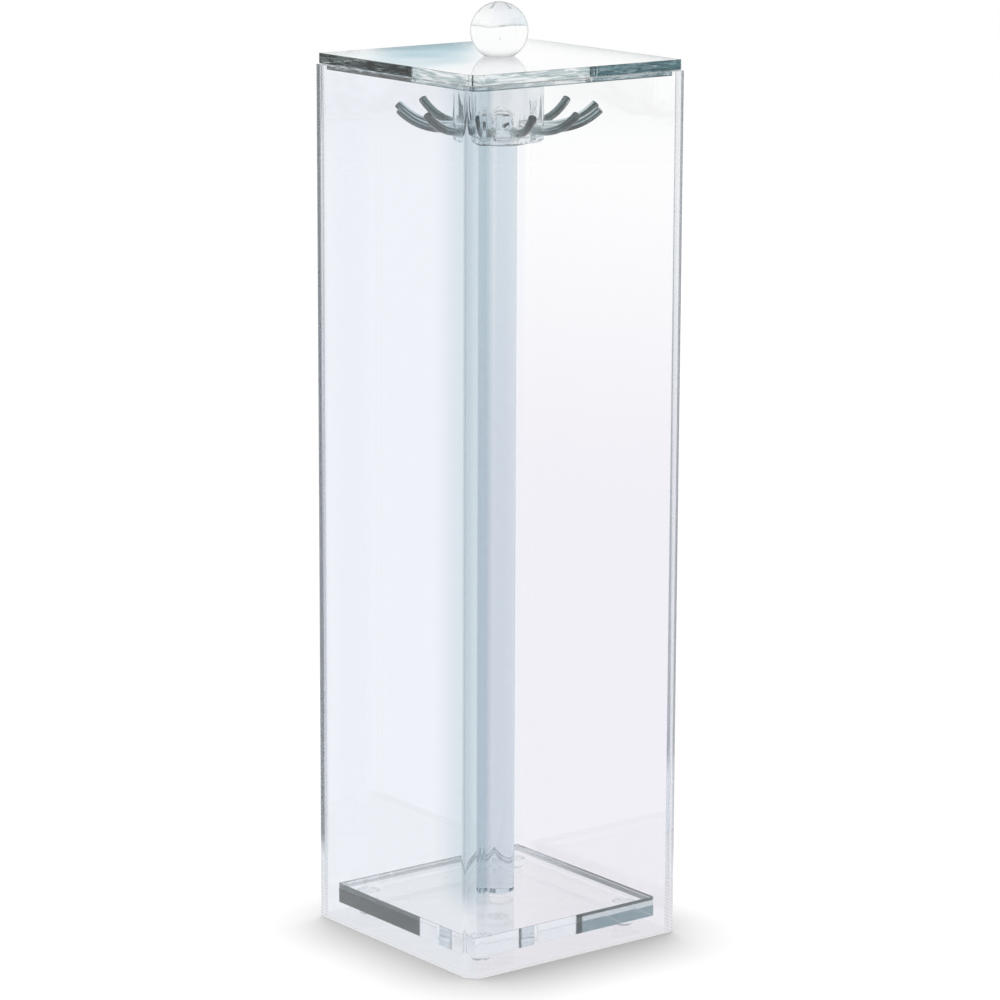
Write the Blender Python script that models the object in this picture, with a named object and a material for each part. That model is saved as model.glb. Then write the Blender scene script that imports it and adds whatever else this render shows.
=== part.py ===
"""A clear acrylic necklace holder: a tall square case with a lift-off lid, and inside it
a stand whose turning head carries a ring of bent round hooks.

Metres, +Z up. The origin is the centre of the case's underside. The rounded front bend
of the case points to -X -Y, and the back bend to +X +Y.
"""

import math

import bmesh
import bpy
from mathutils import Matrix

# Gap kept between pieces that touch or are glued
TOUCH_GAP = 0.0003
# Polished edges of the sawn sheets
EDGE_EASE = 0.0002

# Case: two L-bent sheets and a floor
CASE_SIDE = 0.100
CASE_HEIGHT = 0.342
WALL = 0.0028
BEND_INNER_RADIUS = 0.0037
FLOOR_THICKNESS = 0.002

# Lid
LID_INSET = 0.00075
LID_THICKNESS = 0.004
LOCATING_THICKNESS = 0.002
LOCATING_CLEARANCE = 0.0009
KNOB_DIAMETER = 0.0223
KNOB_FLAT_CUT = 0.00185

# Stand: base plate on four feet, and the post
STAND_CLEARANCE = 0.0032
BASE_THICKNESS = 0.008
FOOT_DIAMETER = 0.009
FOOT_HEIGHT = 0.0039
FOOT_TAPER = 0.0007
FOOT_ROUND = 0.0008
FOOT_INSET = 0.0085
POST_DIAMETER = 0.0127
SPIGOT_STEP = 0.00185
PIVOT_STEP = 0.00165
PIVOT_CLEARANCE = 0.0003
PIVOT_END_CLEARANCE = 0.0004
TURNED_CHAMFER = 0.0004

# Turning head
WASHER_DIAMETER = 0.020
WASHER_THICKNESS = 0.001
HUB_DIAMETER = 0.033
HUB_HEIGHT = 0.0215
HUB_ROOF = 0.0077
HUB_HEADROOM = 0.0041
DRILL_POINT_ANGLE = math.radians(118)
HOOK_COUNT = 12
HOOK_DIAMETER = 0.0033
HOOK_HEIGHT_ON_HUB = 0.005
HOOK_STRAIGHT = 0.0038
HOOK_RISE_ANGLE = math.radians(45)
HOOK_WALL_CLEARANCE = 0.008
HOOK_TIP_ROUND = 0.0005
HOOK_FIRST_ANGLE = math.radians(10.5)
SOCKET_WEB = 0.0012

# Facets
BEND_STEPS = 16
KNOB_STEPS = 40
POST_STEPS = 56
FOOT_STEPS = 24
WASHER_STEPS = 48
HUB_STEPS_PER_HOOK = 6
HOOK_SIDES = 12
HOOK_BEND_STEPS = 8
ROUND_STEPS = 3
SMOOTH_BELOW = math.radians(35)

# Sizes and heights that follow
half_case = CASE_SIDE / 2
half_inside = half_case - WALL
bend_outer_radius = BEND_INNER_RADIUS + WALL
lid_bottom = CASE_HEIGHT + TOUCH_GAP
locating_top = lid_bottom - TOUCH_GAP
locating_bottom = locating_top - LOCATING_THICKNESS
knob_bottom = lid_bottom + LID_THICKNESS + TOUCH_GAP
foot_bottom = FLOOR_THICKNESS + TOUCH_GAP
base_bottom = foot_bottom + FOOT_HEIGHT + TOUCH_GAP
base_top = base_bottom + BASE_THICKNESS
half_base = half_inside - STAND_CLEARANCE
hub_bottom = locating_bottom - HUB_HEADROOM - HUB_HEIGHT
washer_bottom = hub_bottom - TOUCH_GAP - WASHER_THICKNESS
post_bottom = base_top + TOUCH_GAP
shaft_length = washer_bottom - TOUCH_GAP - post_bottom
spigot_radius = POST_DIAMETER / 2 - SPIGOT_STEP
pivot_radius = POST_DIAMETER / 2 - PIVOT_STEP
bore_radius = pivot_radius + PIVOT_CLEARANCE
bore_cone_height = bore_radius / math.tan(DRILL_POINT_ANGLE / 2)
bore_depth = HUB_HEIGHT - HUB_ROOF - bore_cone_height
pivot_length = hub_bottom - washer_bottom + TOUCH_GAP + bore_depth - PIVOT_END_CLEARANCE
hub_radius = HUB_DIAMETER / 2
hook_radius = HOOK_DIAMETER / 2
hook_pitch = 2 * math.pi / HOOK_COUNT
socket_radius = hook_radius + TOUCH_GAP
# The sockets stop where the web between two neighbours is still SOCKET_WEB thick
socket_end = (socket_radius + SOCKET_WEB / 2) / math.sin(hook_pitch / 2)
hook_tip_reach = half_inside - HOOK_WALL_CLEARANCE - hook_radius * math.sin(HOOK_RISE_ANGLE)
hook_bend_start = hub_radius + HOOK_STRAIGHT
hook_bend_radius = (hook_tip_reach - hook_bend_start) / math.sin(HOOK_RISE_ANGLE)


def clear_scene():
    """Removes what the open file holds, so that the model starts from nothing."""
    for thing in list(bpy.data.objects):
        bpy.data.objects.remove(thing)


def clear_plastic(name, colour, roughness=0.02):
    """A clear plastic of the given tint."""
    made = bpy.data.materials.new(name)
    made.use_nodes = True
    shader = made.node_tree.nodes["Principled BSDF"]
    shader.inputs["Base Color"].default_value = (*colour, 1.0)
    shader.inputs["Roughness"].default_value = roughness
    shader.inputs["Metallic"].default_value = 0.0
    shader.inputs["IOR"].default_value = 1.49
    shader.inputs["Transmission Weight"].default_value = 1.0
    made.diffuse_color = (*colour, 1.0)
    return made


def finish_object(bm, name, finish, height=0.0, parent=None):
    """Turns a bmesh into a named object at the given height, with its faces outwards."""
    bmesh.ops.recalc_face_normals(bm, faces=bm.faces)
    mesh = bpy.data.meshes.new(name)
    bm.to_mesh(mesh)
    bm.free()
    mesh.shade_smooth()
    mesh.set_sharp_from_angle(angle=SMOOTH_BELOW)
    mesh.materials.append(finish)
    made = bpy.data.objects.new(name, mesh)
    made.location.z = height
    made.parent = parent
    bpy.context.scene.collection.objects.link(made)
    return made


def joint_empty(name, height):
    """An empty on a joint's axis, which carries the pieces that move together."""
    made = bpy.data.objects.new(name, None)
    made.location.z = height
    bpy.context.scene.collection.objects.link(made)
    return made


def ease_edges(thing, width=EDGE_EASE):
    """Breaks the sharp edges of a sheet, as polishing does."""
    ease = thing.modifiers.new("polished_edges", "BEVEL")
    ease.width = width
    ease.segments = 1
    ease.limit_method = "ANGLE"
    ease.angle_limit = SMOOTH_BELOW


def cut_with(thing, cutter):
    """Cuts a guide object out of a piece."""
    cutter.hide_render = True
    cutter.display_type = "WIRE"
    cut = thing.modifiers.new("cut", "BOOLEAN")
    cut.operation = "DIFFERENCE"
    cut.solver = "EXACT"
    cut.object = cutter


def arc(centre, radius, first, last, steps):
    """Points along an arc in a plane, both ends included."""
    angles = [first + (last - first) * i / steps for i in range(steps + 1)]
    return [
        (centre[0] + radius * math.cos(a), centre[1] + radius * math.sin(a))
        for a in angles
    ]


def extrude_up(bm, faces, height):
    """Raises flat faces into a solid."""
    raised = bmesh.ops.extrude_face_region(bm, geom=faces)
    verts = [v for v in raised["geom"] if isinstance(v, bmesh.types.BMVert)]
    bmesh.ops.translate(bm, verts=verts, vec=(0, 0, height))


def sheet_square(half_side, radius):
    """Outline of a square sheet, rounded at the front and back bends of the case and
    square at its two glued corners."""
    middle = half_side - radius
    front = arc((-middle, -middle), radius, math.pi, 1.5 * math.pi, BEND_STEPS)
    back = arc((middle, middle), radius, 0.0, 0.5 * math.pi, BEND_STEPS)
    return front + [(half_side, -half_side)] + back + [(-half_side, half_side)]


def flat_sheet(name, outline, thickness, height, finish, parent=None):
    """A flat sheet cut to an outline."""
    bm = bmesh.new()
    face = bm.faces.new([bm.verts.new((x, y, 0)) for x, y in outline])
    extrude_up(bm, [face], thickness)
    made = finish_object(bm, name, finish, height, parent)
    ease_edges(made)
    return made


def bent_shell(name, leg_end, turn, finish):
    """A sheet bent round one corner of the case. Its legs run along -X and -Y up to
    leg_end, and the whole is then turned about the case's middle."""
    corner = bend_outer_radius - half_case
    bend = (corner, corner)
    first, last = math.pi, 1.5 * math.pi
    outer = arc(bend, bend_outer_radius, first, last, BEND_STEPS)
    inner = arc(bend, BEND_INNER_RADIUS, first, last, BEND_STEPS)
    outer = [(-half_case, leg_end)] + outer + [(leg_end, -half_case)]
    inner = [(-half_inside, leg_end)] + inner + [(leg_end, -half_inside)]
    bm = bmesh.new()
    outer_verts = [bm.verts.new((x, y, 0)) for x, y in outer]
    inner_verts = [bm.verts.new((x, y, 0)) for x, y in inner]
    faces = []
    for i in range(len(outer) - 1):
        corners = (outer_verts[i], outer_verts[i + 1], inner_verts[i + 1], inner_verts[i])
        faces.append(bm.faces.new(corners))
    extrude_up(bm, faces, CASE_HEIGHT)
    made = finish_object(bm, name, finish)
    made.rotation_euler.z = turn
    ease_edges(made)
    return made


def turned(name, profile, steps, height, finish, parent=None):
    """A piece turned about Z from a profile of (radius, height) points."""
    bm = bmesh.new()
    verts = [bm.verts.new((r, 0, z)) for r, z in profile]
    pairs = list(zip(verts, verts[1:]))
    on_axis = profile[0][0] == 0 and profile[-1][0] == 0
    if not on_axis:
        pairs.append((verts[-1], verts[0]))
    edges = [bm.edges.new(pair) for pair in pairs]
    bmesh.ops.spin(
        bm,
        geom=verts + edges,
        cent=(0, 0, 0),
        axis=(0, 0, 1),
        angle=2 * math.pi,
        steps=steps,
        use_merge=True,
    )
    bmesh.ops.remove_doubles(bm, verts=bm.verts, dist=1e-6)
    return finish_object(bm, name, finish, height, parent)


def swept_rod(bm, stations, sides):
    """A round rod through stations of (x, z, slope angle, radius) in the XZ plane."""
    rings = []
    for x, z, slope, radius in stations:
        ring = []
        for i in range(sides):
            turn = 2 * math.pi * i / sides
            lift = radius * math.cos(turn)
            side = radius * math.sin(turn)
            ring.append(bm.verts.new((x - lift * math.sin(slope), side, z + lift * math.cos(slope))))
        rings.append(ring)
    for near, far in zip(rings, rings[1:]):
        for i in range(sides):
            j = (i + 1) % sides
            bm.faces.new((near[i], near[j], far[j], far[i]))
    bm.faces.new(rings[0])
    bm.faces.new(rings[-1])


def make_case(finish):
    """The front shell reaches both glued corners, and the rear shell butts against it."""
    bent_shell("case_front_shell", half_case, 0.0, finish)
    bent_shell("case_rear_shell", half_inside - TOUCH_GAP, math.pi, finish)
    outline = sheet_square(half_inside - TOUCH_GAP, BEND_INNER_RADIUS - TOUCH_GAP)
    flat_sheet("case_floor", outline, FLOOR_THICKNESS, 0.0, finish)


def knob_profile():
    """A ball with a flat cut on its underside, from the top down."""
    radius = KNOB_DIAMETER / 2
    centre = radius - KNOB_FLAT_CUT
    lowest = -math.asin(centre / radius)
    points = arc((0, centre), radius, math.pi / 2, lowest, KNOB_STEPS // 2)
    points[0] = (0.0, centre + radius)
    return points + [(0.0, 0.0)]


def make_lid(sheet_finish, knob_finish):
    """The lid plate lies on the rim, and the plate glued under it keeps it in place."""
    lid = joint_empty("lid_lift_axis", lid_bottom)
    outline = sheet_square(half_case - LID_INSET, bend_outer_radius - LID_INSET)
    flat_sheet("lid_plate", outline, LID_THICKNESS, 0.0, sheet_finish, lid)
    outline = sheet_square(half_inside - LOCATING_CLEARANCE, BEND_INNER_RADIUS)
    height = locating_bottom - lid_bottom
    flat_sheet("lid_locating_plate", outline, LOCATING_THICKNESS, height, sheet_finish, lid)
    height = knob_bottom - lid_bottom
    turned("lid_knob", knob_profile(), KNOB_STEPS, height, knob_finish, lid)


def foot_profile():
    """A soft foot, a little narrower at its lower end, with a rounded lower edge."""
    top = FOOT_DIAMETER / 2
    bottom = top - FOOT_TAPER
    centre = (bottom - FOOT_ROUND, FOOT_ROUND)
    rounded = arc(centre, FOOT_ROUND, 0.0, -math.pi / 2, ROUND_STEPS)
    return [(0.0, FOOT_HEIGHT), (top, FOOT_HEIGHT)] + rounded + [(0.0, 0.0)]


def post_profile():
    """A shaft with a spigot for the base plate below and a pivot for the hub above."""
    shaft = POST_DIAMETER / 2
    ease = TURNED_CHAMFER
    top = shaft_length + pivot_length
    return [
        (0.0, top),
        (pivot_radius - ease, top),
        (pivot_radius, top - ease),
        (pivot_radius, shaft_length),
        (shaft - ease, shaft_length),
        (shaft, shaft_length - ease),
        (shaft, 0.0),
        (spigot_radius, 0.0),
        (spigot_radius, ease - BASE_THICKNESS),
        (spigot_radius - ease, -BASE_THICKNESS),
        (0.0, -BASE_THICKNESS),
    ]


def make_stand(base_finish, post_finish, foot_finish):
    """The loose stand: a thick square plate on four feet, with the post in its middle."""
    outline = [
        (-half_base, -half_base),
        (half_base, -half_base),
        (half_base, half_base),
        (-half_base, half_base),
    ]
    base = flat_sheet("stand_base_plate", outline, BASE_THICKNESS, base_bottom, base_finish)
    hole = spigot_radius + TOUCH_GAP
    beyond = BASE_THICKNESS / 2
    profile = [
        (0.0, BASE_THICKNESS + beyond),
        (hole, BASE_THICKNESS + beyond),
        (hole, -beyond),
        (0.0, -beyond),
    ]
    cutter = turned("spigot_hole_cutter", profile, POST_STEPS, base_bottom, base_finish)
    cut_with(base, cutter)
    base.modifiers.move(base.modifiers.find("cut"), 0)
    turned("stand_post", post_profile(), POST_STEPS, post_bottom, post_finish)
    place = half_base - FOOT_INSET
    corners = [(-place, -place), (place, -place), (place, place), (-place, place)]
    for number, (x, y) in enumerate(corners, start=1):
        name = f"stand_foot_{number}"
        foot = turned(name, foot_profile(), FOOT_STEPS, foot_bottom, foot_finish)
        foot.location.x = x
        foot.location.y = y


def hub_profile():
    """A solid drum with a drilled blind bore in its underside."""
    ease = TURNED_CHAMFER
    return [
        (0.0, HUB_HEIGHT),
        (hub_radius - ease, HUB_HEIGHT),
        (hub_radius, HUB_HEIGHT - ease),
        (hub_radius, ease),
        (hub_radius - ease, 0.0),
        (bore_radius, 0.0),
        (bore_radius, bore_depth),
        (0.0, bore_depth + bore_cone_height),
    ]


def washer_profile():
    """A plain flat ring."""
    outside = WASHER_DIAMETER / 2
    return [
        (outside, WASHER_THICKNESS),
        (outside, 0.0),
        (bore_radius, 0.0),
        (bore_radius, WASHER_THICKNESS),
    ]


def hook_stations():
    """Centre-line of one hook, outwards along X: a straight root in its socket, a bend
    upwards and a softly rounded tip."""
    root = socket_end + TOUCH_GAP
    stations = [(root, 0.0, 0.0, hook_radius)]
    end_slope = HOOK_RISE_ANGLE
    for i in range(HOOK_BEND_STEPS + 1):
        slope = end_slope * i / HOOK_BEND_STEPS
        x = hook_bend_start + hook_bend_radius * math.sin(slope)
        z = hook_bend_radius * (1 - math.cos(slope))
        stations.append((x, z, slope, hook_radius))
    tip_x, tip_z = stations[-1][:2]
    for i in range(1, ROUND_STEPS + 1):
        turn = math.pi / 2 * i / ROUND_STEPS
        ahead = HOOK_TIP_ROUND * math.sin(turn)
        radius = hook_radius - HOOK_TIP_ROUND * (1 - math.cos(turn))
        x = tip_x + ahead * math.cos(end_slope)
        z = tip_z + ahead * math.sin(end_slope)
        stations.append((x, z, end_slope, radius))
    return stations


def make_head(hub_finish, hook_finish, washer_finish):
    """The hub turns on the post's pivot and carries the ring of hooks."""
    head = joint_empty("head_turn_axis", hub_bottom)
    head.rotation_euler.z = HOOK_FIRST_ANGLE
    turned("thrust_washer", washer_profile(), WASHER_STEPS, washer_bottom, washer_finish)
    steps = HOOK_COUNT * HUB_STEPS_PER_HOOK
    hub = turned("hub", hub_profile(), steps, 0.0, hub_finish, head)
    bm = bmesh.new()
    beyond = hub_radius + HOOK_STRAIGHT
    stations = [(socket_end, 0.0, 0.0, socket_radius), (beyond, 0.0, 0.0, socket_radius)]
    for i in range(HOOK_COUNT):
        before = set(bm.verts)
        swept_rod(bm, stations, HOOK_SIDES)
        added = [v for v in bm.verts if v not in before]
        bmesh.ops.rotate(bm, verts=added, cent=(0, 0, 0), matrix=turn_about_z(i * hook_pitch))
    sockets = finish_object(bm, "hook_socket_cutter", hub_finish, HOOK_HEIGHT_ON_HUB, head)
    cut_with(hub, sockets)
    bm = bmesh.new()
    swept_rod(bm, hook_stations(), HOOK_SIDES)
    first = finish_object(bm, "hook_01", hook_finish, HOOK_HEIGHT_ON_HUB, head)
    for i in range(1, HOOK_COUNT):
        hook = first.copy()
        hook.name = f"hook_{i + 1:02d}"
        hook.rotation_euler.z = i * hook_pitch
        bpy.context.scene.collection.objects.link(hook)


def turn_about_z(angle):
    """A rotation about Z as a matrix."""
    return Matrix.Rotation(angle, 3, "Z")


def main():
    clear_scene()
    sheet = clear_plastic("case_acrylic", (0.90, 0.95, 0.98))
    lid = clear_plastic("lid_acrylic", (0.86, 0.94, 0.96))
    knob = clear_plastic("knob_acrylic", (0.97, 0.98, 0.99), 0.01)
    base = clear_plastic("base_acrylic", (0.88, 0.93, 0.95))
    post = clear_plastic("post_acrylic", (0.80, 0.88, 0.93))
    hub = clear_plastic("hub_acrylic", (0.90, 0.92, 0.94))
    hook = clear_plastic("hook_acrylic", (0.78, 0.84, 0.86))
    bumper = clear_plastic("bumper_gel", (0.92, 0.94, 0.95), 0.15)
    washer = clear_plastic("washer_nylon", (0.90, 0.91, 0.92), 0.30)
    make_case(sheet)
    make_lid(lid, knob)
    make_stand(base, post, bumper)
    make_head(hub, hook, washer)


main()
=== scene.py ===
"""Looks of the clear acrylic necklace holder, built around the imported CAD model.

Metres, +Z up, in the CAD frame. The front bend of the case points to -X -Y.
"""

import math

import bmesh
import bpy
from mathutils import Matrix, Vector


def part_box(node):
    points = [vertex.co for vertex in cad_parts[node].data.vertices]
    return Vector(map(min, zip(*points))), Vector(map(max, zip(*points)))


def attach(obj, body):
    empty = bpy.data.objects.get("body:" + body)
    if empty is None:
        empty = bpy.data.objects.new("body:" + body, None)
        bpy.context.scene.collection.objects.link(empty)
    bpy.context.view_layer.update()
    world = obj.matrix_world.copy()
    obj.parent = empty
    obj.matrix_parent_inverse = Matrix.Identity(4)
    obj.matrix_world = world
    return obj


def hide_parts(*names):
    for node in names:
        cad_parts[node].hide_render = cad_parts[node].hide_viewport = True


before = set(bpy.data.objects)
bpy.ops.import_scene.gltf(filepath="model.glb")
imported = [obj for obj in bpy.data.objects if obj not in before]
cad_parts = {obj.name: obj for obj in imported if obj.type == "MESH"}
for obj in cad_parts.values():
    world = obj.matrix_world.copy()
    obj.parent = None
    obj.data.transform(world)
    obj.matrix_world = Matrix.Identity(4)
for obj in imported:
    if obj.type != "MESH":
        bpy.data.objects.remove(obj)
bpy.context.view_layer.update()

# Bodies of the CAD model
CASE_BODY = "case_and_stand"
LID_BODY = "lid"
HEAD_BODY = "hook_head"

# Sizes of the sheets that a box doesn't give
WALL = 0.0028
BEND_INNER_RADIUS = 0.0037
BEND_STEPS = 40
FACE_GAP = 0.0001
POLISH_RADIUS = 0.00012
POLISH_STEPS = 3
POLISH_ANGLE = math.radians(35)
SHARP_ANGLE = math.radians(30)
FACE_AREA_WEIGHT = 100

# Turned pieces
TURN_STEPS = 160
TURN_CHAMFER = 0.0004
MERGE_DISTANCE = 1e-7
SPIGOT_STEP = 0.00185
PIVOT_STEP = 0.00165
PIVOT_CLEARANCE = 0.0003
HUB_ROOF = 0.0077
HUB_STEPS_PER_HOOK = 16
DRILL_POINT_ANGLE = math.radians(118)
FOOT_COUNT = 4
FOOT_TAPER = 0.0007
FOOT_ROUND = 0.0012
FOOT_ROUND_STEPS = 12
FOOT_TURN_STEPS = 64

# Hooks
HOOK_COUNT = 12
HOOK_PITCH = 2 * math.pi / HOOK_COUNT
HOOK_FIRST_ANGLE = math.radians(10.5)
HOOK_TURNS = [HOOK_FIRST_ANGLE + i * HOOK_PITCH for i in range(HOOK_COUNT)]
HOOK_DIAMETER = 0.0033
HOOK_STRAIGHT = 0.0038
HOOK_RISE_ANGLE = math.radians(45)
HOOK_TIP_ROUND = 0.0006
HOOK_HEIGHT_ON_HUB = 0.005
HOOK_SIDES = 32
HOOK_BEND_STEPS = 24
HOOK_TIP_STEPS = 6
SOCKET_WEB = 0.0012
SOCKET_GAP = 0.0002
SOCKET_RADIUS = HOOK_DIAMETER / 2 + SOCKET_GAP
# Two neighbouring sockets end where a web stays between them
SOCKET_END = (SOCKET_RADIUS + SOCKET_WEB / 2) / math.sin(HOOK_PITCH / 2)

# Acrylic: absorptions per metre for red, green and blue
ACRYLIC_IOR = 1.49
WALL_ABSORPTION = (0.9, 0.7, 0.6)
LID_ABSORPTION = (0.9, 0.8, 0.75)
KNOB_ABSORPTION = (1.0, 0.8, 0.7)
BASE_ABSORPTION = (0.9, 0.6, 0.6)
POST_ABSORPTION = (32.0, 24.0, 19.0)
HUB_ABSORPTION = (6.0, 5.0, 4.5)
HOOK_ABSORPTION = (110.0, 80.0, 75.0)
FOOT_ABSORPTION = (12.0, 10.0, 9.0)
WASHER_ABSORPTION = (30.0, 30.0, 30.0)
# The volume is this much denser than its strongest absorption, so that no colour is 0
DENSITY_MARGIN = 1.25

# Noises over a piece's own place: scale, detail, stretch along its axes, distortion
UNSTRETCHED = (1, 1, 1)
RUB_NOISE = (60.0, 6.0, UNSTRETCHED, 0.0)
SWELL_NOISE = (22.0, 1.0, UNSTRETCHED, 0.0)
DRAWN_NOISE = (900.0, 1.0, (1, 1, 0.004), 0.0)
EDGE_NOISE = (55.0, 1.0, (0.6, 0.6, 6.0), 0.0)
# The next noise places swirls of painted shade along the lid's edges
SHADE_SWIRL_NOISE = (60.0, 2.0, (1, 1, 9), 1.2)
SWIRL_NOISE = (90.0, 2.0, (1, 1, 7), 1.6)
RUB_RANGE = (0.5, 0.8)
SHADE_SWIRL_RANGE = (0.45, 0.6)
SWIRL_RANGE = (0.42, 0.54)
RUB_DULLNESS = 0.012
BUMP_DEPTH = 0.0002

# How far up a normal points on a sheet's upright edges, level roundings and top
UPRIGHT_RANGE = (0.2, 0.4)
LEVEL_RANGE = (0.1, 0.3)
TOP_RANGE = (0.8, 0.95)
# The largest part of a normal, on a narrow rounding and on a face
ROUNDED_RANGE = (0.90, 0.97)

# Tints multiply a clear material, which passes their square root at each surface. Stops
# are (place, tint), from the left corner (0) over the front bend (0.5) to the right (1).
CORNER_TO_CORNER = 0.2
CLEAR = (1.0, 1.0, 1.0)
FRONT_SOFTNESS = 0.001
LINE_SOFTNESS = 0.0001

# Painted reflection tints and painted shade of the case, and the heights between which they
# come in
LEFT_REFLECTION_TINT = (0.923, 0.939, 0.969)
RIGHT_REFLECTION_TINT = (0.938, 0.929, 0.959)
LEFT_REFLECTION_STOPS = ((0.0, LEFT_REFLECTION_TINT), (0.5, LEFT_REFLECTION_TINT), (0.52, CLEAR), (1.0, CLEAR))
RIGHT_REFLECTION_STOPS = ((0.0, CLEAR), (0.5, CLEAR), (0.52, RIGHT_REFLECTION_TINT), (1.0, RIGHT_REFLECTION_TINT))
RIGHT_REFLECTION_HEIGHTS = (0.335, 0.165)
NEAR_BEND_SHADE_TINT = (0.79, 0.86, 0.87)
BEND_LEFT_SHADE_TINT = (0.61, 0.67, 0.71)
BEND_RIGHT_SHADE_TINT = (0.71, 0.79, 0.81)
BEND_DARK_LINE_TINT = (0.42, 0.47, 0.5)
BEND_FAINT_LINE_TINT = (0.66, 0.73, 0.77)
LEFT_CORNER_SHADE_TINT = (0.1, 0.115, 0.12)
RIGHT_CORNER_SHADE_TINT = (0.12, 0.12, 0.13)
# Painted shade over the front bend, darker along lines across it, and painted shade lines at
# the sheet's two ends
BEND_SHADE_STOPS = (
    (0.0, LEFT_CORNER_SHADE_TINT),
    (0.011, LEFT_CORNER_SHADE_TINT),
    (0.016, CLEAR),
    (0.37, CLEAR),
    (0.472, NEAR_BEND_SHADE_TINT),
    (0.4745, NEAR_BEND_SHADE_TINT),
    (0.4768, BEND_DARK_LINE_TINT),
    (0.479, BEND_LEFT_SHADE_TINT),
    (0.503, BEND_RIGHT_SHADE_TINT),
    (0.508, BEND_RIGHT_SHADE_TINT),
    (0.5108, BEND_FAINT_LINE_TINT),
    (0.514, BEND_RIGHT_SHADE_TINT),
    (0.523, BEND_RIGHT_SHADE_TINT),
    (0.528, BEND_FAINT_LINE_TINT),
    (0.533, BEND_RIGHT_SHADE_TINT),
    (0.540, CLEAR),
    (0.9885, CLEAR),
    (0.9905, LEFT_CORNER_SHADE_TINT),
    (0.9925, CLEAR),
    (0.9955, CLEAR),
    (0.998, RIGHT_CORNER_SHADE_TINT),
    (1.0, RIGHT_CORNER_SHADE_TINT),
)
BEND_SHADE_HEIGHTS = (0.022, 0.036)

# Painted shade and painted reflection tints of the lid
SHADE_SWIRL_TINT = (0.35, 0.45, 0.46)
LID_SHADE_TINT = (0.13, 0.16, 0.17)
LID_END_SHADE_TINT = (0.004, 0.006, 0.006)
LID_TEAL_SHADE_TINT = (0.42, 0.55, 0.58)
LID_EDGE_SHADE_STOPS = (
    (0.0, CLEAR),
    (0.28, LID_SHADE_TINT),
    (0.295, LID_END_SHADE_TINT),
    (0.308, LID_END_SHADE_TINT),
    (0.311, CLEAR),
    (0.765, CLEAR),
    (0.775, LID_TEAL_SHADE_TINT),
    (1.0, LID_TEAL_SHADE_TINT),
)
# A pale blue painted reflection tint over the lid's left side
LID_LEFT_REFLECTION_TINT = (0.88, 0.94, 0.96)
LID_REFLECTION_STOPS = ((0.0, LID_LEFT_REFLECTION_TINT), (0.3, LID_LEFT_REFLECTION_TINT), (0.5, CLEAR), (1.0, CLEAR))
# Painted shade in swirls over the dark and teal sections of the lid's front edges
LID_SWIRL_SHADE_TINT = (0.004, 0.007, 0.007)
LID_TEAL_SWIRL_SHADE_TINT = (0.16, 0.3, 0.31)
LID_SWIRL_SHADE_STOPS = (
    (0.0, LID_SWIRL_SHADE_TINT),
    (0.3, LID_SWIRL_SHADE_TINT),
    (0.311, CLEAR),
    (0.765, CLEAR),
    (0.775, LID_TEAL_SWIRL_SHADE_TINT),
    (1.0, LID_TEAL_SWIRL_SHADE_TINT),
)
# A painted shadow line along the foot of the lid's edges
LID_SHADOW_LINE_TINT = (0.1, 0.12, 0.13)
LID_SHADOW_LINE_HEIGHT = 0.0005

# Painted shade at the rims of the knob and the post, from one grazing amount to another
KNOB_RIM_SHADE_TINT = (0.12, 0.13, 0.14)
KNOB_RIM_RANGE = (0.6, 0.92)
POST_RIM_SHADE_TINT = (0.47, 0.54, 0.58)
POST_RIM_RANGE = (0.6, 0.95)

# Painted shade and painted reflections of the base plate
BASE_ROUNDING_SHADE_TINT = (0.25, 0.27, 0.27)
BASE_SHADE_TINT = (0.01, 0.018, 0.018)
BASE_TEAL_SHADE_TINT = (0.45, 0.5, 0.52)
BASE_EDGE_SHADE_STOPS = (
    (0.0, BASE_SHADE_TINT),
    (0.332, BASE_SHADE_TINT),
    (0.335, CLEAR),
    (0.742, CLEAR),
    (0.745, BASE_TEAL_SHADE_TINT),
    (1.0, BASE_TEAL_SHADE_TINT),
)
BASE_SHADE_LINE_TINT = (0.02, 0.03, 0.03)
BASE_SHADE_LINE_DEPTH = 0.0013
BASE_SHADE_LINE_STOPS = (
    (0.0, CLEAR),
    (0.742, CLEAR),
    (0.745, BASE_SHADE_LINE_TINT),
    (1.0, BASE_SHADE_LINE_TINT),
)
BASE_SHADE_BAR_STOPS = (
    (0.0, CLEAR),
    (0.742, CLEAR),
    (0.745, BASE_SHADE_LINE_TINT),
    (0.758, BASE_SHADE_LINE_TINT),
    (0.761, CLEAR),
    (1.0, CLEAR),
)
# A painted reflection of shade on the base's top along its back edges, darker towards the right
BACK_LEFT_REFLECTION_TINT = (0.25, 0.28, 0.3)
BACK_RIGHT_REFLECTION_TINT = (0.004, 0.007, 0.008)
BACK_REFLECTION_STOPS = (
    (0.0, BACK_LEFT_REFLECTION_TINT),
    (0.5, BACK_LEFT_REFLECTION_TINT),
    (0.75, BACK_RIGHT_REFLECTION_TINT),
    (1.0, BACK_RIGHT_REFLECTION_TINT),
)
BACK_REFLECTION_MARGIN = 0.0019
BACK_REFLECTION_SOFTNESS = 0.0003

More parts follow.
